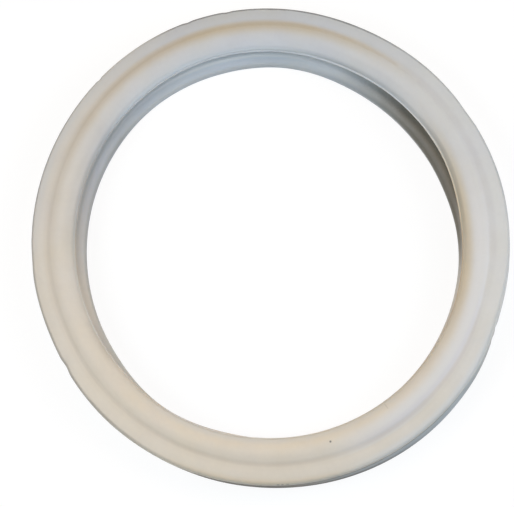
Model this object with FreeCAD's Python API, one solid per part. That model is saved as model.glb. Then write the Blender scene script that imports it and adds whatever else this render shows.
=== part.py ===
# Lens gasket: a soft moulded ring for the rim of a round light lens.
# Its section is a channel that opens inwards. The lens's rim sits in the channel, between a thick back lip
# with a flat back face and a front lip whose top is rolled into a broad round bead.
# All sizes are in millimetres. The ring stands on its back face, with its axis along Z and its front towards +Z.

import FreeCAD, Part
import math
import os

# Lens that the gasket is made for.
LENS_DIAMETER = 212.7
LENS_RIM_THICKNESS = 6.35

# How tightly the channel holds the lens.
RIM_STRETCH = 0.35          # the channel's root is this much inside the lens's edge
RIM_PINCH = 0.25            # the channel is this much narrower than the lens's rim

# Channel and the wall outside it.
CHANNEL_ROOT_ROUND = 1.2
WALL_THICKNESS = 5.125

# Back lip, below the channel.
BACK_LIP_THICKNESS = 8.0
BACK_LIP_REACH = 18.0       # from the channel's root in to the bore
BACK_LIP_ROUND = 4.5        # the lip's upper inner edge, which the lens slides over
BORE_EDGE_ROUND = 1.0
BACK_EDGE_ROUND = 2.5

# Front lip, above the channel.
FRONT_LIP_THICKNESS = 6.5
FRONT_LIP_REACH = 15.95     # from the channel's root in to the sight opening
BEAD_CREST_SETBACK = 6.95   # from the sight opening out to the bead's crest
NOSE_ROUND = 3.0            # where the bead rolls down to the sight opening
NOSE_FACE = 1.25            # the upright face below that round
NOSE_UNDER_ROUND = 1.25

# Valley round the bead, and the shoulder that falls from it to the outer wall.
SHOULDER_WIDTH = 8.825
SHOULDER_DROP = 3.6         # from the bead's crest down to the shoulder's edge
SHOULDER_CROWN = 0.35       # how far the shoulder bulges above a straight slope
SHOULDER_EDGE_ROUND = 2.4
VALLEY_DEPTH = 1.55
VALLEY_ROUND = 2.6

# Radii and levels that follow from the sizes above.
root_radius = LENS_DIAMETER / 2 - RIM_STRETCH
outer_radius = root_radius + WALL_THICKNESS
bore_radius = root_radius - BACK_LIP_REACH
sight_radius = root_radius - FRONT_LIP_REACH
crest_radius = sight_radius + BEAD_CREST_SETBACK
valley_radius = outer_radius - SHOULDER_WIDTH
channel_floor = BACK_LIP_THICKNESS
channel_roof = channel_floor + LENS_RIM_THICKNESS - RIM_PINCH
crest_level = channel_roof + FRONT_LIP_THICKNESS
valley_level = crest_level - VALLEY_DEPTH
shoulder_level = crest_level - SHOULDER_DROP
nose_foot_level = channel_roof + NOSE_UNDER_ROUND
nose_top_level = nose_foot_level + NOSE_FACE


def point(radius, level):
    """A point of the section, in the plane Y = 0."""
    return FreeCAD.Vector(radius, 0, level)


def on_circle(centre, radius, angle):
    """The point of a circle in the section at an angle from the outward direction, in radians."""
    return centre + point(radius * math.cos(angle), radius * math.sin(angle))


def line(start, end):
    """A straight edge of the section."""
    return Part.LineSegment(start, end).toShape()


def arc(start, middle, end):
    """A round edge of the section through three points."""
    return Part.Arc(start, middle, end).toShape()


def turn(centre, radius, start_angle, end_angle):
    """A round edge of the section about a centre, between two angles in radians."""
    return arc(
        on_circle(centre, radius, start_angle),
        on_circle(centre, radius, (start_angle + end_angle) / 2),
        on_circle(centre, radius, end_angle),
    )


def shoulder(start, end):
    """A shallow arc from start to end that bulges above the straight line between them."""
    chord = end - start
    up = FreeCAD.Vector(chord.z, 0, -chord.x).normalize()
    return arc(start, (start + end) / 2 + up * SHOULDER_CROWN, end)


def bead_outside():
    """From the valley up to the bead's crest, level at the crest."""
    width = valley_radius - crest_radius
    radius = (width ** 2 + VALLEY_DEPTH ** 2) / (2 * VALLEY_DEPTH)
    centre = point(crest_radius, crest_level - radius)
    valley_angle = math.atan2(valley_level - centre.z, width)
    return turn(centre, radius, valley_angle, math.pi / 2)


def bead_inside():
    """From the crest down to the sight opening: a large arc, level at the crest, that runs into the nose."""
    nose_centre = point(sight_radius + NOSE_ROUND, nose_top_level)
    width = crest_radius - nose_centre.x
    height = crest_level - nose_top_level
    radius = (width ** 2 + height ** 2 - NOSE_ROUND ** 2) / (2 * (height - NOSE_ROUND))
    centre = point(crest_radius, crest_level - radius)
    joint_angle = math.atan2(nose_centre.z - centre.z, nose_centre.x - centre.x)
    bead = turn(centre, radius, math.pi / 2, joint_angle)
    nose = turn(nose_centre, NOSE_ROUND, joint_angle, math.pi)
    return bead, nose


def nose_underside():
    """From the sight opening under the nose to the channel's roof."""
    centre = point(sight_radius + NOSE_UNDER_ROUND, nose_foot_level)
    return turn(centre, NOSE_UNDER_ROUND, math.pi, math.pi * 3 / 2)


def meeting_point(before, after):
    """The point that two edges of the section share."""
    for here in before.Vertexes:
        for there in after.Vertexes:
            if here.Point.isEqual(there.Point, 1e-6):
                return here.Point
    raise ValueError("two edges of the section don't meet")


def rounded_wire(outline):
    """The closed wire of (edge, rounding of the corner at its end) pairs; a rounding of 0 is a smooth joint."""
    plane = Part.Plane(point(0, 0), FreeCAD.Vector(0, -1, 0))
    edges = [edge for edge, rounding in outline]
    roundings = {}
    for here, (_, rounding) in enumerate(outline):
        if rounding == 0:
            continue
        there = (here + 1) % len(edges)
        fillet = Part.ChFi2d.FilletAPI(edges[here], edges[there], plane)
        if not fillet.perform(rounding):
            raise ValueError(f"a rounding of {rounding} doesn't fit its corner")
        corner = meeting_point(edges[here], edges[there])
        roundings[here], edges[here], edges[there] = fillet.result(corner)
    pieces = []
    for here, edge in enumerate(edges):
        pieces.append(edge)
        if here in roundings:
            pieces.append(roundings[here])
    return Part.Wire(pieces)


def section():
    """The ring's section: round the back and the outside, over the front, and through the channel."""
    back_inner = point(bore_radius, 0)
    back_outer = point(outer_radius, 0)
    shoulder_edge = point(outer_radius, shoulder_level)
    valley = point(valley_radius, valley_level)
    face_top = point(sight_radius, nose_top_level)
    face_bottom = point(sight_radius, nose_foot_level)
    roof_edge = point(sight_radius + NOSE_UNDER_ROUND, channel_roof)
    root_top = point(root_radius, channel_roof)
    root_bottom = point(root_radius, channel_floor)
    back_lip_edge = point(bore_radius, channel_floor)
    bead, nose = bead_inside()
    outline = [
        (line(back_inner, back_outer), BACK_EDGE_ROUND),
        (line(back_outer, shoulder_edge), SHOULDER_EDGE_ROUND),
        (shoulder(shoulder_edge, valley), VALLEY_ROUND),
        (bead_outside(), 0),
        (bead, 0),
        (nose, 0),
        (line(face_top, face_bottom), 0),
        (nose_underside(), 0),
        (line(roof_edge, root_top), CHANNEL_ROOT_ROUND),
        (line(root_top, root_bottom), CHANNEL_ROOT_ROUND),
        (line(root_bottom, back_lip_edge), BACK_LIP_ROUND),
        (line(back_lip_edge, back_inner), BORE_EDGE_ROUND),
    ]
    return Part.Face(rounded_wire(outline))


def lens_gasket():
    """The moulded ring: its section turned about the axis."""
    return section().revolve(FreeCAD.Vector(0, 0, 0), FreeCAD.Vector(0, 0, 1), 360)


def main():
    os.makedirs("parts", exist_ok=True)
    gasket = lens_gasket()
    gasket.exportStep("parts/lens_gasket.step")
    box = gasket.optimalBoundingBox()
    print(
        f"lens_gasket: {gasket.ShapeType}, valid {gasket.isValid()}, volume {gasket.Volume:.1f} mm3,"
        f" across {box.XLength:.3f} mm, height {box.ZLength:.3f} mm"
    )


main()
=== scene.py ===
# A white silicone lens gasket, as it looks after some years of use: the moulded ring, its finish with some
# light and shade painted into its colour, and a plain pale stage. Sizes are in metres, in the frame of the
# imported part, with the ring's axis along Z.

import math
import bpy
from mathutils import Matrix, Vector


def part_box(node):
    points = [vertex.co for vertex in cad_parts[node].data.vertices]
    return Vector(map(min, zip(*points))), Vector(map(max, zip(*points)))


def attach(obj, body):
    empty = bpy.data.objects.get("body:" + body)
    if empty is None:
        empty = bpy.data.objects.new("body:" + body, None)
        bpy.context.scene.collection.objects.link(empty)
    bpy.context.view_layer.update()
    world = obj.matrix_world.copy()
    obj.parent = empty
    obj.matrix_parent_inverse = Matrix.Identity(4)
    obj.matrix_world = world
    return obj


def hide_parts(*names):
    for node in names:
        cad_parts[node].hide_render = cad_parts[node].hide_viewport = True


bl_info = {
    "name": "Lens gasket",
    "version": (1, 0, 0),
    "blender": (4, 5, 0),
    "location": "3D View > Sidebar > Gasket",
    "description": "Moulds a silicone lens gasket and sets a plain stage round it",
    "category": "Add Mesh",
}

from collections import namedtuple

import bpy
import numpy as np
from mathutils import Matrix, Vector

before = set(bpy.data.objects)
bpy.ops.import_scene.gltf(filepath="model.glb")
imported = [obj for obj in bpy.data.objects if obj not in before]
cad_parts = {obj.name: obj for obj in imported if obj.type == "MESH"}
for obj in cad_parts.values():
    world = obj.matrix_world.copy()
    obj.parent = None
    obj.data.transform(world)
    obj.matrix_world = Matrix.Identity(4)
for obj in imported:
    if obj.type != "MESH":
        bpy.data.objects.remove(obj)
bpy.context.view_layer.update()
NODE = "lens_gasket"
RING_LOW, RING_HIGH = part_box(NODE)

MM = 0.001

# Roundings of the section's corners.
BORE_EDGE_ROUND = 1.0 * MM
BACK_EDGE_ROUND = 2.5 * MM
BACK_LIP_ROUND = 4.5 * MM
CHANNEL_ROOT_ROUND = 1.2 * MM
SHOULDER_EDGE_ROUND = 2.4 * MM
SHOULDER_CROWN_ROUND = 18 * MM
SEAM_ROOT_ROUND = 0.15 * MM
SEAM_EDGE_ROUND = 0.1 * MM

# How far the crowned shoulder's corner lies above its slope, and how thick the parting seam's edge is.
SHOULDER_CROWN = 0.7 * MM
SEAM_THICKNESS = 0.2 * MM

# Points closer than this are one.
MERGE_DISTANCE = 0.01 * MM

# The satin grain and the uneven roughness of the surface, in waves for each millimetre and how much they do.
GRAIN_WAVES = 1.3
GRAIN_HEIGHT = 0.02 * MM
ROUGHNESS_WAVES = 0.2
ROUGHNESS_SPREAD = 0.06

# Faint clouds in the silicone: the tint, its share on the mean, and how much that share varies.
Cloud = namedtuple("Cloud", "tint mean spread")
DARKER = Cloud((0.93, 0.93, 0.945), 0.3, 0.9)
CREAMIER = Cloud((1.0, 0.985, 0.93), 0.3, 0.8)

# How much of a cloudy pattern is its coarse noise; the rest is its fine noise.
COARSE_SHARE = 0.6

# The side of the square floor and the camera's clipping, in metres, and its sensor, in millimetres.
FLOOR_SIDE = 4
CLIP_START = 0.01
CLIP_END = 20
SENSOR_WIDTH = 36

# How much of the floor's shadow depth light gives back: over 1, so that it is white wherever light falls.
LIT_FLOOR_GAIN = 1.2

# Parts of the section: the radius or the level, in millimetres, at which each starts and is full.
RADIUS, LEVEL = 0, 1
ZONES = {
    "ring": (),
    "outside": ((RADIUS, 99, 106),),
    "edge": ((RADIUS, 107, 110), (LEVEL, 9, 14)),
    "wall": ((RADIUS, 107, 110), (LEVEL, 14, 10)),
    "wall foot": ((RADIUS, 104, 109), (LEVEL, 12, 6)),
    "valley": ((RADIUS, 98.5, 101.8), (RADIUS, 106, 102.8), (LEVEL, 14, 17)),
    "front lip": ((RADIUS, 103, 96), (LEVEL, 10, 13)),
    "back lip": ((RADIUS, 106, 92), (LEVEL, 12, 9)),
}

# How the ring has been bent and nicked: the zone, the middle and the half width in degrees, and the push
# outwards and upwards in millimetres.
PRESSES = (
    ("ring", 65, 22, -0.45, 0),
    ("ring", 115, 40, 0.45, 0),
    ("outside", 14, 24, 0.45, 0),
    ("outside", 205, 18, -0.5, 0),
    ("outside", 342, 15, -0.9, 0),
    ("wall", 240, 20, -0.35, 0),
    ("wall foot", 266, 50, -1.3, 0),
    ("valley", 10, 65, 0, 0.75),
    ("front lip", 5, 24, -0.6, 0),
    ("front lip", 28, 20, 0.35, 0),
    ("front lip", 243, 26, 0.5, 0),
    ("back lip", 18, 14, -0.3, 0),
    ("back lip", 42, 52, -2.7, 0),
    ("back lip", 105, 30, -0.5, 0),
    ("back lip", 178, 50, -0.55, 0),
    ("back lip", 236, 24, 1.3, 0),
    ("edge", 33, 5, -0.25, -0.1),
    ("edge", 100, 1.6, -0.25, -0.1),
    ("edge", 110, 1.4, -0.25, -0.1),
    ("edge", 136.4, 0.9, -0.3, -0.2),
    ("edge", 185, 5, -0.2, 0),
    ("edge", 212.3, 2.6, -0.5, -0.1),
    ("wall", 340.6, 1.6, -0.35, 0),
    ("wall", 337.7, 1.2, -0.3, 0),
)

# Dirt and stains, and light and shade painted into the colour: painted shade in the valley, in the channel
# under the lip, along the outer edge and on the sides that face away from the light, and painted highlights
# along the nose. Each has a colour of the finish and its strength at most. The radii and levels, in
# millimetres, and the directions, in degrees, between which it lies are given as start, full, fade and end.
# A patchy one varies and has a ragged edge. A covering one lies over the silicone; the others tint it.
Marking = namedtuple("Marking", "colour strength radii levels directions patchy covers", defaults=(0, False))

# What many stains share: directions all round, levels of the front, the lip and the edge, and radii of the
# inside and the wall.
ALL_ROUND = (-400, -300, 300, 400)
FRONT = (16, 17, 22, 23)
LIP = (13, 14, 22, 23)
EDGE = (12.5, 14.5, 19, 21)
INSIDE = (60, 70, 106.5, 108)
WALL = (108.8, 110, 112, 113)

MARKINGS = (
    # the bead: paler on the near right, cool white along its near lip
    Marking("bleached", 0.6, (92.5, 98.5, 101.3, 102.3), FRONT, (278, 308, 355, 385), 0.1, True),
    Marking("clean", 0.5, (88, 89, 91.6, 95), LIP, (218, 255, 300, 325), 0.2, True),
    # the valley: painted warm shade with some tan staining on the far side, painted shade with some dusty
    # dirt all round and most on the near side, cool white over it on the near right, and painted cool shade
    # with a pinkish bloom on the right and the near right
    Marking("tan", 1.0, (95.8, 102.3, 102.8, 105.2), FRONT, (36, 84, 102, 172), 0.2),
    Marking("tan", 0.3, (101.2, 102.2, 102.8, 103.9), FRONT, (52, 54, 70, 90), 0.6),
    Marking("tan", 0.15, (97, 101, 103.5, 105.6), FRONT, (115, 150, 185, 215), 0.3),
    Marking("dust", 0.3, (101.8, 103, 104, 106), FRONT, ALL_ROUND, 0.2),
    Marking("dust", 0.5, (100.8, 102, 102.8, 104), FRONT, (40, 85, 220, 250), 0.2),
    Marking("dust", 0.35, (97, 100, 102, 104), FRONT, (192, 212, 275, 298), 0.2),
    Marking("dust", 0.75, (100.6, 102.2, 102.8, 104.2), FRONT, (222, 250, 298, 322), 0.1),
    Marking("clean", 0.3, (101, 102, 103.8, 105), FRONT, (282, 296, 308, 324), 0.1, True),
    Marking("lilac", 0.8, (100.5, 102, 104.5, 106.5), FRONT, (-16, 2, 44, 56), 1.0),
    Marking("lilac", 1.0, (99, 101, 103, 104), FRONT, (284, 304, 335, 352), 0.3),
    # the shoulder: painted shade with a dull skin on the far side, cool white on the left and the near
    # right, tan on the near side, and painted shade with some sooty dirt along its outer edge
    Marking("film", 1.0, (102.5, 105, 109.6, 112), FRONT, (36, 80, 108, 145), 0.1),
    Marking("clean", 0.55, (105.5, 109, 112, 113), FRONT, (112, 132, 160, 190), 0.2, True),
    Marking("clean", 0.4, (107.6, 109.6, 112, 113), FRONT, (286, 302, 328, 345), 0.3, True),
    Marking("tan", 0.45, (107.8, 110.4, 112, 113), FRONT, (240, 260, 280, 294), 0.1),
    Marking("soot", 1.0, (109.3, 110.4, 112, 113), EDGE, (36, 72, 108, 126), 0.3),
    Marking("soot", 0.6, (109.6, 110.7, 112, 113), EDGE, (126, 154, 215, 258), 0.3),
    Marking("soot", 0.35, (109.7, 110.7, 112, 113), EDGE, (3, 14, 46, 60), 0.3),
    # the nose: painted highlights along its seam and its edge on the far side and the near side, a painted
    # shade line where the seam meets the nose on the far side, and darker on the near right
    Marking("flash", 1.0, (88, 89, 90.7, 91.1), (14.4, 14.9, 15.7, 17), (0, 14, 66, 92), 0.2, True),
    Marking("flash", 0.5, (88, 89, 90.7, 91.1), (14.4, 14.9, 17, 18.2), (192, 206, 216, 236), 0.3, True),
    Marking("flash", 0.85, (88, 89, 90.7, 91.1), (14.4, 14.9, 17, 18.2), (228, 250, 280, 304), 0.3, True),
    Marking("flash", 0.5, (88, 89, 91.5, 92.5), (13, 14, 14.9, 15.1), (60, 85, 132, 148), 0.2, True),
    Marking("flash", 0.85, (88, 89, 91.4, 92.6), (15.3, 15.5, 17.2, 18.9), (66, 92, 132, 155), 0.1, True),
    Marking("dust", 1.0, (88, 89, 90.6, 90.75), (15.2, 15.28, 15.4, 15.5), (66, 92, 138, 158)),
    Marking("dust", 0.7, (88, 89, 90.8, 91.6), (13, 14, 17, 18), (292, 308, 352, 366), 0.2),
    # the bead's inner slope: creamy staining with painted warm light on the right and a darker grey foot
    # there, and darker on the far side and the left
    Marking("cream", 1.0, (89, 90, 92.4, 96.6), LIP, (322, 352, 368, 408), 0.2),
    Marking("cream", 0.3, (90, 91.6, 93, 98), LIP, (262, 285, 318, 342), 1.0),
    Marking("soot", 0.27, (90.4, 90.9, 91.8, 92.8), LIP, (350, 372, 386, 402), 0.2),
    Marking("dust", 0.6, (88, 89, 93, 97), LIP, (132, 152, 174, 198), 0.3),
    Marking("dust", 0.3, (88, 89, 94, 96), LIP, (38, 52, 66, 84), 0.3),
    Marking("film", 0.4, (88, 90, 96, 99), LIP, (58, 75, 140, 165), 0.2),
    # the channel and the hole: painted light under the lip on the far side, painted cool shade with some
    # dusty dirt on the back lip's round there, painted shadow with some grimy dirt under the lip on the
    # right, and painted cool shade and darker grey near the bottom of the hole
    Marking("bleached", 1.0, INSIDE, (7.4, 7.9, 13.3, 14.3), (54, 80, 130, 150), 0.1, True),
    Marking("film", 1.0, INSIDE, (4.9, 6, 7.4, 7.85), (72, 92, 160, 200), 0.1),
    Marking("dust", 0.6, INSIDE, (6, 7, 7.7, 7.9), (72, 92, 130, 150), 0.1),
    Marking("water mark", 0.7, INSIDE, (2, 5, 7.5, 8.5), (196, 216, 245, 260), 0.2),
    Marking("grime", 1.0, INSIDE, (1, 3.6, 6, 8), (345, 368, 398, 434), 0.1),
    Marking("grime", 0.4, INSIDE, (2, 4, 7, 8), (-10, 5, 32, 48), 0.2),
    Marking("grime", 1.0, INSIDE, (6, 8, 13.3, 14.3), (358, 376, 400, 428), 0.1),
    Marking("grime", 0.4, INSIDE, (6, 8, 13.3, 14.3), (38, 48, 60, 70), 1.0),
    Marking("cream", 0.2, INSIDE, (5, 7.5, 13.3, 14.3), (0, 18, 40, 62), 0.1),
    Marking("water mark", 0.45, INSIDE, (-2, -1, 5, 7), (36, 52, 68, 80), 0.2),
    Marking("water mark", 0.9, INSIDE, (-2, -1, 0.6, 2.4), (50, 68, 190, 215), 0.2),
    Marking("soot", 0.5, INSIDE, (-2, -1, 4, 6.5), (126, 150, 200, 216), 0.3),
    # the wall: painted shade, nearly black, on the near side, and painted cool shade beside that on the
    # right
    Marking("wall dirt", 1.0, WALL, (-3, -1, 13.5, 15.5), (246, 259, 272, 296), 0.2),
    Marking("wall dirt", 0.75, WALL, (-3, -1, 13.5, 15.5), (246, 255, 267, 280), 0.2),
    Marking("wall dirt", 1.0, WALL, (-3, -1, 4.5, 8.5), (262, 272, 290, 315), 0.2),
    Marking("wall dirt", 0.7, WALL, (12.8, 13.6, 14.6, 15.4), (252, 268, 316, 330), 0.3),
    Marking("water mark", 1.0, WALL, (-3, -1, 13.5, 15.5), (276, 292, 324, 338), 0.2),
    Marking("water mark", 0.5, WALL, (-3, -1, 11, 13), (272, 285, 310, 330), 0.3),
    Marking("wall dirt", 0.33, WALL, (-3, -1, 11, 13), (318, 328, 334, 344), 0.2),
    # small marks: a speck, a scratch, rubs on the lip and dots on the edge
    Marking("soot", 1.0, (96.0, 96.35, 96.85, 97.2), FRONT, (286.65, 286.9, 287.15, 287.4)),
    Marking("soot", 0.18, (91.8, 92.2, 94.3, 94.9), FRONT, (304.75, 304.95, 305.05, 305.25)),
    Marking("dust", 1.0, (89.5, 90, 91.8, 94.5), LIP, (203, 208, 216, 223), 1.0),
    Marking("soot", 0.5, (110.6, 110.8, 111.2, 111.5), (15.6, 16, 17, 17.6), (271.8, 272.1, 272.4, 272.7)),
    Marking("soot", 0.5, (110.6, 110.8, 111.2, 111.5), (15.6, 16, 17, 17.6), (272.9, 273.1, 273.4, 273.6)),
    Marking("soot", 0.4, (110.6, 110.8, 111.2, 111.5), (15.6, 16, 17, 17.6), (274.0, 274.3, 274.6, 274.9)),
)

# Lamps of the stage: the direction and the height in degrees, the brightness that a white surface which
# faces the lamp takes, and the colour.
Lamp = namedtuple("Lamp", "name side height brightness colour")
LAMPS = (
    Lamp("right softbox", 0, 32, 0.452, (0.745, 0.858, 1.0)),
    Lamp("high right lamp", 0, 50, 0.226, (1.0, 0.895, 0.684)),
    Lamp("left lamp", 180, 50, 0.168, (0.936, 0.93, 1.0)),
    Lamp("left softbox", 210, 50, 0.483, (0.866, 0.972, 1.0)),
    Lamp("near window", 330, 50, 0.155, (0.0, 0.458, 1.0)),
    Lamp("high warm lamp", 90, 70, 0.171, (1.0, 0.396, 0.012)),
    Lamp("far warm lamp", 90, 18, 0.152, (1.0, 0.942, 0.533)),
)


class GasketSizes(bpy.types.PropertyGroup):
    """Sizes of the moulded section."""

    outer_radius: bpy.props.FloatProperty(
        name="Outer radius", description="From the axis to the outer wall",
        default=RING_HIGH.x, unit="LENGTH")
    thickness: bpy.props.FloatProperty(
        name="Thickness", description="From the back face to the bead's crest",
        default=RING_HIGH.z - RING_LOW.z, unit="LENGTH")
    wall: bpy.props.FloatProperty(
        name="Wall", description="From the channel's root out to the outer wall",
        default=5.125 * MM, unit="LENGTH")
    back_lip_reach: bpy.props.FloatProperty(
        name="Back lip reach", description="From the channel's root in to the hole",
        default=18.0 * MM, unit="LENGTH")
    back_lip_thickness: bpy.props.FloatProperty(
        name="Back lip thickness", description="From the back face up to the channel",
        default=8.0 * MM, unit="LENGTH")
    channel_width: bpy.props.FloatProperty(
        name="Channel width", description="Between the back lip and the front lip",
        default=6.1 * MM, unit="LENGTH")
    front_lip_reach: bpy.props.FloatProperty(
        name="Front lip reach", description="From the channel's root in to the front lip's nose",
        default=15.95 * MM, unit="LENGTH")
    crest_setback: bpy.props.FloatProperty(
        name="Crest setback", description="From the front lip's nose out to the bead's crest",
        default=6.95 * MM, unit="LENGTH")
    nose_round: bpy.props.FloatProperty(
        name="Nose round", description="Radius where the bead rolls down to the opening",
        default=3.0 * MM, unit="LENGTH")
    nose_face: bpy.props.FloatProperty(
        name="Nose face", description="Height of the upright face below that round",
        default=1.25 * MM, unit="LENGTH")
    nose_under_round: bpy.props.FloatProperty(
        name="Nose under round", description="Radius below the nose",
        default=1.25 * MM, unit="LENGTH")
    seam_reach: bpy.props.FloatProperty(
        name="Seam reach", description="How far the mould's parting seam stands out below the nose",
        default=0.5 * MM, unit="LENGTH")
    shoulder_width: bpy.props.FloatProperty(
        name="Shoulder width", description="From the outer wall in to the valley",
        default=8.825 * MM, unit="LENGTH")
    shoulder_drop: bpy.props.FloatProperty(
        name="Shoulder drop", description="From the bead's crest down to the shoulder's edge",
        default=3.6 * MM, unit="LENGTH")
    valley_depth: bpy.props.FloatProperty(
        name="Valley depth", description="From the bead's crest down to the valley",
        default=1.55 * MM, unit="LENGTH")
    valley_round: bpy.props.FloatProperty(
        name="Valley round", description="Radius of the valley's bottom",
        default=3.5 * MM, unit="LENGTH")
    steps_round: bpy.props.IntProperty(
        name="Steps round", description="Steps of the section round the axis",
        default=640, min=90)


class GasketShape(bpy.types.PropertyGroup):
    """How the soft ring lies: it isn't quite round."""

    ovality: bpy.props.FloatProperty(
        name="Ovality", description="Share by which the long axis is longer than the mean",
        default=0.0232, subtype="FACTOR")
    long_axis: bpy.props.FloatProperty(
        name="Long axis", description="Direction of the long axis, from +X",
        default=math.radians(111.4), subtype="ANGLE")


class GasketFinish(bpy.types.PropertyGroup):
    """Colours of the silicone, of what has settled on it, and of the light and shade painted on it."""

    # The silicone goes from cool white to warm yellow round the ring: partly its own aged yellow, partly
    # painted warm light on one side and painted cool light on the other. The cool white also covers some
    # patches.
    clean: bpy.props.FloatVectorProperty(
        name="Clean silicone", description="On the side that has kept its cool white",
        default=(0.598, 0.616, 0.632), subtype="COLOR", min=0, max=1)
    # Warm yellow: partly the silicone's aged yellow, partly painted warm light on that side.
    yellowed_and_warm_lit: bpy.props.FloatVectorProperty(
        name="Yellowed silicone", description="On the side that has yellowed",
        default=(0.719, 0.636, 0.529), subtype="COLOR", min=0, max=1)
    warm_side: bpy.props.FloatProperty(
        name="Yellowed side", description="Direction of the most yellowed side, from +X",
        default=math.radians(255), subtype="ANGLE")
    # Paler silicone: painted light in the channel under the lip on the far side, and a paler patch on the
    # bead's near right.
    bleached: bpy.props.FloatVectorProperty(
        name="Bleached silicone", description="Where light has faded the bead",
        default=(0.705, 0.69, 0.68), subtype="COLOR", min=0, max=1)
    # A painted highlight along the nose's edge and the mould's parting seam.
    flash: bpy.props.FloatVectorProperty(
        name="Moulding flash", description="The thin bright skin along the mould's parting seam",
        default=(0.82, 0.82, 0.81), subtype="COLOR", min=0, max=1)
    # Tan: partly staining, partly painted warm shade in the valley's crease.
    tan: bpy.props.FloatVectorProperty(
        name="Tan stain", description="Tint of the stain in the valley",
        default=(0.905, 0.79, 0.63), subtype="COLOR", min=0, max=1)
    # Creamy tint: partly staining, partly painted warm light on the bead's inner slope.
    cream: bpy.props.FloatVectorProperty(
        name="Cream stain", description="Tint of the stain on the bead's inner slope",
        default=(1.0, 0.90, 0.72), subtype="COLOR", min=0, max=1)
    # Grey: partly dusty dirt, partly painted shade in the valley's crease and where the seam meets the nose.
    dust: bpy.props.FloatVectorProperty(
        name="Dust", description="Grey tint of dust",
        default=(0.87, 0.86, 0.85), subtype="COLOR", min=0, max=1)
    # Pinkish grey: partly a bloom, partly painted cool shade on the bead's outer slope.
    lilac: bpy.props.FloatVectorProperty(
        name="Lilac bloom", description="Tint of the patchy bloom along the valley",
        default=(0.945, 0.93, 0.955), subtype="COLOR", min=0, max=1)
    # Cool grey: painted shade on the far shoulder and in the channel, with a dull skin.
    film: bpy.props.FloatVectorProperty(
        name="Film", description="Tint of the dull film on the shoulder",
        default=(0.90, 0.925, 0.98), subtype="COLOR", min=0, max=1)
    # Olive brown: painted shadow under the front lip in the channel, with some grimy dirt.
    grime: bpy.props.FloatVectorProperty(
        name="Grime", description="Olive brown tint of the grime in the channel",
        default=(0.34, 0.32, 0.27), subtype="COLOR", min=0, max=1)
    # Painted shade on the near side of the outer wall, which faces away from the light.
    wall_dirt: bpy.props.FloatVectorProperty(
        name="Wall dirt", description="Dark tint of the dirt on the outer wall",
        default=(0.22, 0.205, 0.18), subtype="COLOR", min=0, max=1)
    # Painted cool shade on the wall's near right and near the bottom of the hole.
    water_mark: bpy.props.FloatVectorProperty(
        name="Water mark", description="Cold grey tint left by standing water",
        default=(0.69, 0.77, 0.86), subtype="COLOR", min=0, max=1)
    # Dark grey: painted shade along the outer edge, and small real marks.
    soot: bpy.props.FloatVectorProperty(
        name="Soot", description="Dark tint of the dirt on the outer edge and of small marks",
        default=(0.31, 0.32, 0.35), subtype="COLOR", min=0, max=1)
    roughness: bpy.props.FloatProperty(
        name="Roughness", description="Of the satin mould finish",
        default=0.5, subtype="FACTOR", min=0, max=1)


class GasketStage(bpy.types.PropertyGroup):
    """Camera, floor and light."""

    camera_distance: bpy.props.FloatProperty(
        name="Camera distance", description="From the camera to the ring",
        default=1.0, unit="LENGTH")
    camera_tilt: bpy.props.FloatProperty(
        name="Camera tilt", description="Angle of the view from the ring's axis",
        default=math.radians(17.0), subtype="ANGLE")
    camera_side: bpy.props.FloatProperty(
        name="Camera side", description="Direction in which the camera leans, from +X",
        default=math.radians(289.15), subtype="ANGLE")
    target: bpy.props.FloatVectorProperty(
        name="Target", description="The point of the view plane at the picture's middle",
        default=(-6.42 * MM, -1.97 * MM), size=2, subtype="XYZ_LENGTH")
    focal_length: bpy.props.FloatProperty(
        name="Focal length", description="Of the lens, in millimetres",
        default=151.6)
    lamp_distance: bpy.props.FloatProperty(
        name="Lamp distance", description="From each lamp to the ring",
        default=0.9, unit="LENGTH")
    lamp_size: bpy.props.FloatProperty(
        name="Lamp size", description="Side of each square lamp",
        default=0.45, unit="LENGTH")
    room: bpy.props.FloatVectorProperty(
        name="Room light", description="Light that comes from all round",
        default=(0.01, 0.01, 0.01), subtype="COLOR", min=0, max=1)
    floor: bpy.props.FloatVectorProperty(
        name="Floor", description="Colour that the floor scatters back",
        default=(0.6, 0.6, 0.6), subtype="COLOR", min=0, max=1)
    floor_gap: bpy.props.FloatProperty(
        name="Floor gap", description="From the ring down to the floor, so that their faces don't coincide",
        default=0.05 * MM, unit="LENGTH")
    shadow_depth: bpy.props.FloatProperty(
        name="Shadow depth", description="How far the floor darkens where no light falls",
        default=0.1, subtype="FACTOR", min=0, max=1)


class Signal:
    """A socket's number as it varies over the surface, so that a pattern reads as plain arithmetic."""

    def __init__(self, wiring, socket):
        self.wiring = wiring
        self.socket = socket

    def output(self, name):
        """Another output of the same node."""
        return Signal(self.wiring, self.socket.node.outputs[name])

    def __add__(self, other):
        return self.wiring.math("ADD", self, other)

    __radd__ = __add__

    def __sub__(self, other):
        return self.wiring.math("SUBTRACT", self, other)

    def __rsub__(self, other):
        return self.wiring.math("SUBTRACT", other, self)

    def __mul__(self, other):
        return self.wiring.math("MULTIPLY", self, other)

    __rmul__ = __mul__

    def __truediv__(self, other):
        return self.wiring.math("DIVIDE", self, other)

    def __rtruediv__(self, other):
        return self.wiring.math("DIVIDE", other, self)


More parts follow.
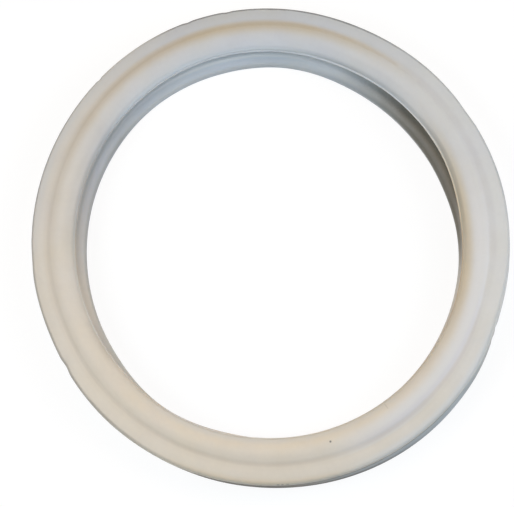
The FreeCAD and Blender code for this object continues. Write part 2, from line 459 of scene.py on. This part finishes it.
class Wiring:
    """The nodes of one material or of the world."""

    # places of the Mix node's sockets when it mixes colours
    MIX_SHARE, MIX_UNDER, MIX_OVER, MIX_RESULT = 0, 6, 7, 2

    def __init__(self, owner):
        owner.use_nodes = True
        self.tree = owner.node_tree
        self.tree.nodes.clear()

    def feed(self, socket, value):
        """Links a signal to a socket, or sets the socket to a plain value."""
        if isinstance(value, Signal):
            self.tree.links.new(value.socket, socket)
        else:
            socket.default_value = value

    def node(self, kind, settings, sockets, result=0):
        """Adds a node: its settings first, then the values or links of its sockets."""
        node = self.tree.nodes.new(kind)
        for name, value in settings.items():
            setattr(node, name, value)
        for name, value in sockets.items():
            self.feed(node.inputs[name], value)
        return Signal(self, node.outputs[result] if node.outputs else None)

    def math(self, operation, *values):
        return self.node("ShaderNodeMath", {"operation": operation}, dict(enumerate(values)))

    def step(self, value, start, full):
        """A smooth rise from 0 at start to 1 at full; it falls if full lies below start."""
        return self.node("ShaderNodeMapRange", {"interpolation_type": "SMOOTHSTEP"},
                         {"Value": value, "From Min": start, "From Max": full})

    def band(self, value, start, full, fade, end):
        """1 from full to fade, and 0 before start and past end."""
        return self.step(value, start, full) * self.step(value, end, fade)

    def noise(self, place, scale, detail=2.0):
        """Cloudy noise about 0, at most about 1 each way; the scale is in waves for each millimetre."""
        cloud = self.node("ShaderNodeTexNoise", {}, {"Vector": place, "Scale": scale, "Detail": detail})
        return (cloud - 0.5) * 2

    def clouds(self, place, coarse, fine):
        """Coarse noise with fine noise in it; the scales are in waves for each millimetre."""
        return self.noise(place, coarse) * COARSE_SHARE + self.noise(place, fine) * (1 - COARSE_SHARE)

    def mix(self, under, over, share, blend="MIX"):
        """A share of one colour or tint over another."""
        settings = {"data_type": "RGBA", "blend_type": blend}
        sockets = {self.MIX_SHARE: share, self.MIX_UNDER: under, self.MIX_OVER: over}
        return self.node("ShaderNodeMix", settings, sockets, self.MIX_RESULT)

    def tinted(self, colour, tint, share):
        """A colour seen through a share of a tint."""
        return self.mix(colour, (*tint, 1), share, "MULTIPLY")

    def seen(self):
        """1 for a ray of the camera or of a mirror image, 0 for scattered light."""
        ray = self.node("ShaderNodeLightPath", {}, {}, "Is Camera Ray")
        return ray + ray.output("Is Glossy Ray") + ray.output("Is Transmission Ray")


class SectionPen:
    """Draws the ring's section in the XZ plane by extruding one vertex along runs and arcs."""

    RUN_MARGIN = 0.3 * MM
    ARC_STEP = math.radians(9)

    def __init__(self, start):
        bpy.ops.mesh.primitive_plane_add(size=MM, location=(start.x, 0, start.y))
        self.drawn = bpy.context.object
        bpy.ops.object.mode_set(mode="EDIT")
        bpy.ops.mesh.select_all(action="SELECT")
        bpy.ops.mesh.merge(type="CENTER")
        bpy.ops.mesh.select_all(action="SELECT")
        self.here = start

    def step_to(self, there):
        """One straight edge."""
        step = there - self.here
        bpy.ops.mesh.extrude_region_move(TRANSFORM_OT_translate={"value": (step.x, 0, step.y)})
        self.here = there

    def run_to(self, there):
        """A straight run, with a point near each end that keeps its faces flat where they meet a round."""
        run = there - self.here
        if run.length > 4 * self.RUN_MARGIN:
            margin = run.normalized() * self.RUN_MARGIN
            self.step_to(self.here + margin)
            self.step_to(there - margin)
        self.step_to(there)

    def turn(self, centre, angle):
        """An arc about a centre; a positive angle turns to the left."""
        steps = max(2, math.ceil(abs(angle) / self.ARC_STEP))
        bpy.ops.mesh.spin(steps=steps, angle=angle, center=(centre.x, 0, centre.y), axis=(0, 1, 0))
        self.here = centre + Matrix.Rotation(angle, 2) @ (self.here - centre)

    def close(self):
        """Joins the last point to the first."""
        bpy.ops.mesh.select_all(action="SELECT")
        bpy.ops.mesh.remove_doubles(threshold=MERGE_DISTANCE)


def corner_arc(before, corner, after, radius):
    """Start, centre and turn of the arc that rounds a corner."""
    back = (before - corner).normalized()
    ahead = (after - corner).normalized()
    half = back.angle(ahead) / 2
    start = corner + back * (radius / math.tan(half))
    centre = corner + (back + ahead).normalized() * (radius / math.sin(half))
    left = back.x * ahead.y - back.y * ahead.x < 0
    turn = math.pi - 2 * half
    return start, centre, turn if left else -turn


def section_corners(sizes):
    """Corners of the section and the radius that rounds each, from the back face round the outside."""
    outer = sizes.outer_radius
    root = outer - sizes.wall
    bore = root - sizes.back_lip_reach
    seam = root - sizes.front_lip_reach
    nose = seam + sizes.seam_reach
    crest = seam + sizes.crest_setback
    valley = outer - sizes.shoulder_width
    top = sizes.thickness
    floor = sizes.back_lip_thickness
    roof = floor + sizes.channel_width
    shoulder = Vector((outer, top - sizes.shoulder_drop))
    valley_point = Vector((valley, top - sizes.valley_depth))
    slope = valley_point - shoulder
    crown = (shoulder + valley_point) / 2 + Vector((slope.y, -slope.x)).normalized() * SHOULDER_CROWN

    # the valley's round touches the shoulder's slope and the bead's outer arc
    bead_round = ((valley - crest) ** 2 + sizes.valley_depth ** 2) / (2 * sizes.valley_depth)
    bead_centre = Vector((crest, top - bead_round))
    out = (crown - valley_point).normalized()
    valley_centre = valley_point + Vector((-out.y, out.x)) * sizes.valley_round
    back = (valley_centre - bead_centre).dot(out)
    reach = (bead_round + sizes.valley_round) ** 2 - (valley_centre - bead_centre).length_squared
    touch = math.sqrt(back ** 2 + reach) - back
    valley_centre += out * touch
    bead_turn = math.atan2(valley_centre.x - crest, valley_centre.y - bead_centre.y)
    valley_turn = bead_turn + math.atan2(out.y, out.x)
    valley_point += out * (touch - sizes.valley_round * math.tan(valley_turn / 2))

    # the bead's inner arc is level at the crest and runs into the nose's round, which ends upright
    seam_level = roof + sizes.nose_under_round
    across = crest - (nose + sizes.nose_round)
    down = top - (seam_level + sizes.nose_face)
    roll_round = (across ** 2 + down ** 2 - sizes.nose_round ** 2) / (2 * (down - sizes.nose_round))
    roll_turn = math.atan2(across, roll_round - down)
    nose_turn = math.pi / 2 - roll_turn
    nose_corner = top - down + sizes.nose_round * math.tan(nose_turn / 2)

    return (
        (Vector((bore, 0)), BORE_EDGE_ROUND),
        (Vector((outer, 0)), BACK_EDGE_ROUND),
        (shoulder, SHOULDER_EDGE_ROUND),
        (crown, SHOULDER_CROWN_ROUND),
        (valley_point, sizes.valley_round),
        (Vector((crest + bead_round * math.tan(bead_turn / 2), top)), bead_round),
        (Vector((crest - roll_round * math.tan(roll_turn / 2), top)), roll_round),
        (Vector((nose, nose_corner)), sizes.nose_round),
        (Vector((nose, seam_level)), SEAM_ROOT_ROUND),
        (Vector((seam, seam_level)), SEAM_EDGE_ROUND),
        (Vector((seam, roof)), sizes.nose_under_round - SEAM_THICKNESS),
        (Vector((root, roof)), CHANNEL_ROOT_ROUND),
        (Vector((root, floor)), CHANNEL_ROOT_ROUND),
        (Vector((bore, floor)), BACK_LIP_ROUND),
    )


def draw_section(corners):
    """The section as a closed outline, left in edit mode with everything selected."""
    arcs = []
    for index, (corner, radius) in enumerate(corners):
        before = corners[index - 1][0]
        after = corners[(index + 1) % len(corners)][0]
        arcs.append(corner_arc(before, corner, after, radius))
    pen = SectionPen(arcs[0][0])
    first = pen.here.copy()
    for start, centre, turn in arcs:
        pen.run_to(start)
        pen.turn(centre, turn)
    pen.run_to(first)
    pen.close()
    return pen.drawn


def turn_round(ring, steps):
    """Turns the section about the Z axis into a closed ring whose faces point outwards."""
    bpy.ops.object.modifier_add(type="SCREW")
    screw = ring.modifiers[-1]
    screw.axis = "Z"
    screw.angle = 2 * math.pi
    screw.steps = steps
    screw.render_steps = steps
    screw.use_merge_vertices = True
    screw.merge_threshold = MERGE_DISTANCE
    bpy.ops.object.modifier_apply(modifier=screw.name)
    bpy.ops.object.mode_set(mode="EDIT")
    bpy.ops.mesh.select_all(action="SELECT")
    bpy.ops.mesh.normals_make_consistent(inside=False)
    bpy.ops.object.mode_set(mode="OBJECT")


def vertex_places(mesh):
    """Places of the mesh's points, one row each."""
    places = np.zeros(len(mesh.vertices) * 3, np.float32)
    mesh.vertices.foreach_get("co", places)
    return places.reshape(-1, 3)


def remember_mould(ring):
    """Keeps each point's place in the round mould, for the finish to follow."""
    places = vertex_places(ring.data)
    ring.data.attributes.new("mould", "FLOAT_VECTOR", "POINT").data.foreach_set("vector", places.ravel())


def ramp(values, start, end):
    """A smooth rise from 0 at start to 1 at end."""
    share = np.clip((values - start) / (end - start), 0, 1)
    return share * share * (3 - 2 * share)


def press(ring):
    """Pushes parts of the soft ring in or out, as it has been bent, stretched and nicked in use."""
    places = vertex_places(ring.data)
    angle = np.arctan2(places[:, 1], places[:, 0])
    section = (np.hypot(places[:, 0], places[:, 1]) / MM, places[:, 2] / MM)
    moves = np.zeros(places.shape)
    for zone, at, spread, outward, upward in PRESSES:
        off = np.abs((np.degrees(angle) - at + 180) % 360 - 180)
        weight = ramp(off, spread, 0)
        for axis, start, full in ZONES[zone]:
            weight = weight * ramp(section[axis], start, full)
        moves[:, 0] += outward * MM * weight * np.cos(angle)
        moves[:, 1] += outward * MM * weight * np.sin(angle)
        moves[:, 2] += upward * MM * weight
    ring.data.vertices.foreach_set("co", (places + moves).ravel())
    ring.data.update()


class GASKET_OT_mould_ring(bpy.types.Operator):
    """Mould the silicone ring"""

    bl_idname = "gasket.mould_ring"
    bl_label = "Mould ring"

    def execute(self, context):
        sizes = context.scene.gasket_sizes
        shape = context.scene.gasket_shape
        bpy.ops.object.select_all(action="DESELECT")
        ring = draw_section(section_corners(sizes))
        bpy.ops.object.mode_set(mode="OBJECT")
        bpy.ops.object.transform_apply(location=True, rotation=True, scale=True)
        turn_round(ring, sizes.steps_round)
        ring.name = "silicone_ring"
        ring.data.name = "silicone_ring"
        remember_mould(ring)
        press(ring)
        bpy.ops.object.mode_set(mode="EDIT")
        bpy.ops.mesh.select_all(action="SELECT")
        turn = Matrix.Rotation(shape.long_axis, 3, "Z")
        bpy.ops.transform.resize(value=(1 + shape.ovality, 1 - shape.ovality, 1), orient_type="GLOBAL",
                                 orient_matrix=turn, orient_matrix_type="GLOBAL",
                                 center_override=(0, 0, 0))
        bpy.ops.object.mode_set(mode="OBJECT")
        bpy.ops.object.shade_smooth()
        ring.data.materials.append(silicone(context.scene.gasket_finish))
        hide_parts(NODE)
        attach(ring, "root")
        return {"FINISHED"}


class MouldPlace:
    """Where a point of the surface lies in the mould, in millimetres and degrees."""

    def __init__(self, wiring):
        self.wiring = wiring
        stored = wiring.node("ShaderNodeAttribute", {"attribute_name": "mould"}, {}, "Vector")
        self.point = wiring.node("ShaderNodeVectorMath", {"operation": "SCALE"},
                                 {"Vector": stored, "Scale": 1 / MM})
        self.x = wiring.node("ShaderNodeSeparateXYZ", {}, {"Vector": self.point}, "X")
        self.y = self.x.output("Y")
        self.level = self.x.output("Z")
        self.radius = wiring.math("SQRT", self.x * self.x + self.y * self.y)
        self.angle = wiring.math("DEGREES", wiring.math("ARCTAN2", self.y, self.x))
        self.bands = {}

    def between(self, levels):
        """The share of a band of levels, wired once for all that lie there."""
        if levels not in self.bands:
            self.bands[levels] = self.wiring.band(self.level, *levels)
        return self.bands[levels]

    def past(self, angle):
        """Degrees past a direction, from -180 to 180."""
        return self.wiring.math("WRAP", self.angle - angle, 180, -180)

    def towards(self, angle):
        """1 on the side that faces a direction, in radians, falling evenly to -1 on the other."""
        return (self.x * math.cos(angle) + self.y * math.sin(angle)) / self.radius


def silicone(colours):
    """White silicone: warmer on one side, partly from age and partly painted warm light; stained and with
    painted shade in the valley; painted shadow with some grimy dirt in the channel; painted shade with some
    sooty dirt on the edge.
    """
    material = bpy.data.materials.new("silicone")
    wiring = Wiring(material)
    at = MouldPlace(wiring)
    # Warmer towards one side: partly aged yellow, partly painted warm light; cooler on the other, painted
    # cool light.
    warm_share = at.towards(colours.warm_side) * 0.5 + 0.5
    colour = wiring.mix((*colours.clean, 1), (*colours.yellowed_and_warm_lit, 1), warm_share)
    colour = mottled(wiring, at, colour)
    colour = stained_and_shaded(wiring, at, colour, colours)
    grain = wiring.noise(at.point, GRAIN_WAVES, detail=3.0)
    bump = wiring.node("ShaderNodeBump", {}, {"Strength": 0.3, "Distance": GRAIN_HEIGHT, "Height": grain})
    shader = wiring.node("ShaderNodeBsdfPrincipled", {}, {
        "Base Color": colour,
        "Roughness": wiring.noise(at.point, ROUGHNESS_WAVES) * ROUGHNESS_SPREAD + colours.roughness,
        "IOR": 1.41,
        "Specular IOR Level": 0.3,
        "Normal": bump,
    })
    wiring.node("ShaderNodeOutputMaterial", {}, {"Surface": shader})
    return material


def mottled(wiring, at, colour):
    """Faint clouds in the silicone: some darker, some more cream than the rest."""
    clouds = wiring.clouds(at.point, coarse=0.09, fine=0.5)
    colour = wiring.tinted(colour, DARKER.tint, clouds * DARKER.spread + DARKER.mean)
    clouds = wiring.noise(at.point, 0.06)
    return wiring.tinted(colour, CREAMIER.tint, clouds * CREAMIER.spread + CREAMIER.mean)


def stained_and_shaded(wiring, at, colour, colours):
    """The dirt and the stains, and the light and shade painted in with them, each where it shows."""
    patches = wiring.clouds(at.point, coarse=0.12, fine=0.9)
    for marking in MARKINGS:
        middle = (marking.directions[0] + marking.directions[-1]) / 2
        share = wiring.band(at.past(middle), *(direction - middle for direction in marking.directions))
        radius = at.radius
        if marking.patchy:
            radius = radius + patches * marking.patchy
            share = share * (1 - marking.patchy / 2 + patches * marking.patchy)
        share = share * wiring.band(radius, *marking.radii) * at.between(marking.levels) * marking.strength
        over = getattr(colours, marking.colour.replace(" ", "_"))
        colour = wiring.mix(colour, (*over, 1), share, "MIX" if marking.covers else "MULTIPLY")
    return colour


def add_lamp(lamp, stage):
    """A soft square lamp that faces the ring."""
    side = math.radians(lamp.side)
    height = math.radians(lamp.height)
    across = math.cos(height)
    towards = Vector((math.cos(side) * across, math.sin(side) * across, math.sin(height)))
    bpy.ops.object.light_add(type="AREA", location=towards * stage.lamp_distance,
                             rotation=towards.to_track_quat("Z", "Y").to_euler())
    added = bpy.context.object
    added.name = lamp.name
    added.data.size = stage.lamp_size
    added.data.energy = lamp.brightness * (math.pi * stage.lamp_distance) ** 2
    added.data.color = lamp.colour


def pale_floor(stage):
    """A floor that is seen white, with the ring's shadow just kept, and that scatters some light back."""
    material = bpy.data.materials.new("floor")
    wiring = Wiring(material)
    scatter = wiring.node("ShaderNodeBsdfDiffuse", {}, {"Color": (*stage.floor, 1)})
    depth = stage.shadow_depth
    lit = depth * LIT_FLOOR_GAIN
    shade = wiring.node("ShaderNodeBsdfDiffuse", {}, {"Color": (lit, lit, lit, 1)})
    glow = wiring.node("ShaderNodeEmission", {}, {"Strength": 1 - depth})
    looks = wiring.node("ShaderNodeAddShader", {}, {0: shade, 1: glow})
    surface = wiring.node("ShaderNodeMixShader", {}, {0: wiring.seen(), 1: scatter, 2: looks})
    wiring.node("ShaderNodeOutputMaterial", {}, {"Surface": surface})
    return material


def pale_room(stage):
    """A world that is seen white and gives a little light from all round."""
    world = bpy.data.worlds.new("room")
    wiring = Wiring(world)
    light = wiring.node("ShaderNodeBackground", {}, {"Color": (*stage.room, 1)})
    white = wiring.node("ShaderNodeBackground", {}, {"Color": (1, 1, 1, 1)})
    surface = wiring.node("ShaderNodeMixShader", {}, {0: wiring.seen(), 1: light, 2: white})
    wiring.node("ShaderNodeOutputWorld", {}, {"Surface": surface})
    return world


class GASKET_OT_set_stage(bpy.types.Operator):
    """Set the floor, the light and the camera"""

    bl_idname = "gasket.set_stage"
    bl_label = "Set stage"

    def execute(self, context):
        stage = context.scene.gasket_stage
        bpy.ops.object.select_all(action="DESELECT")
        bpy.ops.mesh.primitive_plane_add(size=FLOOR_SIDE, location=(0, 0, RING_LOW.z - stage.floor_gap))
        floor = context.object
        floor.name = "floor"
        floor.data.materials.append(pale_floor(stage))
        for lamp in LAMPS:
            add_lamp(lamp, stage)
        bpy.ops.object.camera_add()
        camera = context.object
        lean = Vector((-math.sin(stage.camera_side), math.cos(stage.camera_side), 0))
        view = Matrix.Rotation(stage.camera_tilt, 4, lean)
        place = Matrix.Translation((*stage.target, stage.camera_distance))
        camera.matrix_world = view @ place
        camera.data.lens = stage.focal_length
        camera.data.sensor_width = SENSOR_WIDTH
        camera.data.clip_start = CLIP_START
        camera.data.clip_end = CLIP_END
        context.scene.camera = camera
        context.scene.view_settings.view_transform = "Standard"
        context.scene.world = pale_room(stage)
        return {"FINISHED"}


class GASKET_PT_panel(bpy.types.Panel):
    """Gasket tools in the sidebar"""

    bl_idname = "GASKET_PT_panel"
    bl_label = "Lens gasket"
    bl_space_type = "VIEW_3D"
    bl_region_type = "UI"
    bl_category = "Gasket"

    def draw(self, context):
        for group in GROUPS:
            box = self.layout.box()
            settings = getattr(context.scene, group)
            for name in settings.bl_rna.properties.keys():
                if name not in ("rna_type", "name"):
                    box.prop(settings, name)
        for operator in OPERATORS:
            self.layout.operator(operator.bl_idname)


OPERATORS = (GASKET_OT_mould_ring, GASKET_OT_set_stage)
GROUPS = {
    "gasket_sizes": GasketSizes,
    "gasket_shape": GasketShape,
    "gasket_finish": GasketFinish,
    "gasket_stage": GasketStage,
}


def register():
    for kind in (*GROUPS.values(), *OPERATORS, GASKET_PT_panel):
        bpy.utils.register_class(kind)
    for name, kind in GROUPS.items():
        setattr(bpy.types.Scene, name, bpy.props.PointerProperty(type=kind))


def unregister():
    for name in GROUPS:
        delattr(bpy.types.Scene, name)
    for kind in reversed((*GROUPS.values(), *OPERATORS, GASKET_PT_panel)):
        bpy.utils.unregister_class(kind)


def main():
    register()
    bpy.ops.gasket.mould_ring()
    bpy.ops.gasket.set_stage()


if __name__ == "__main__":
    main()
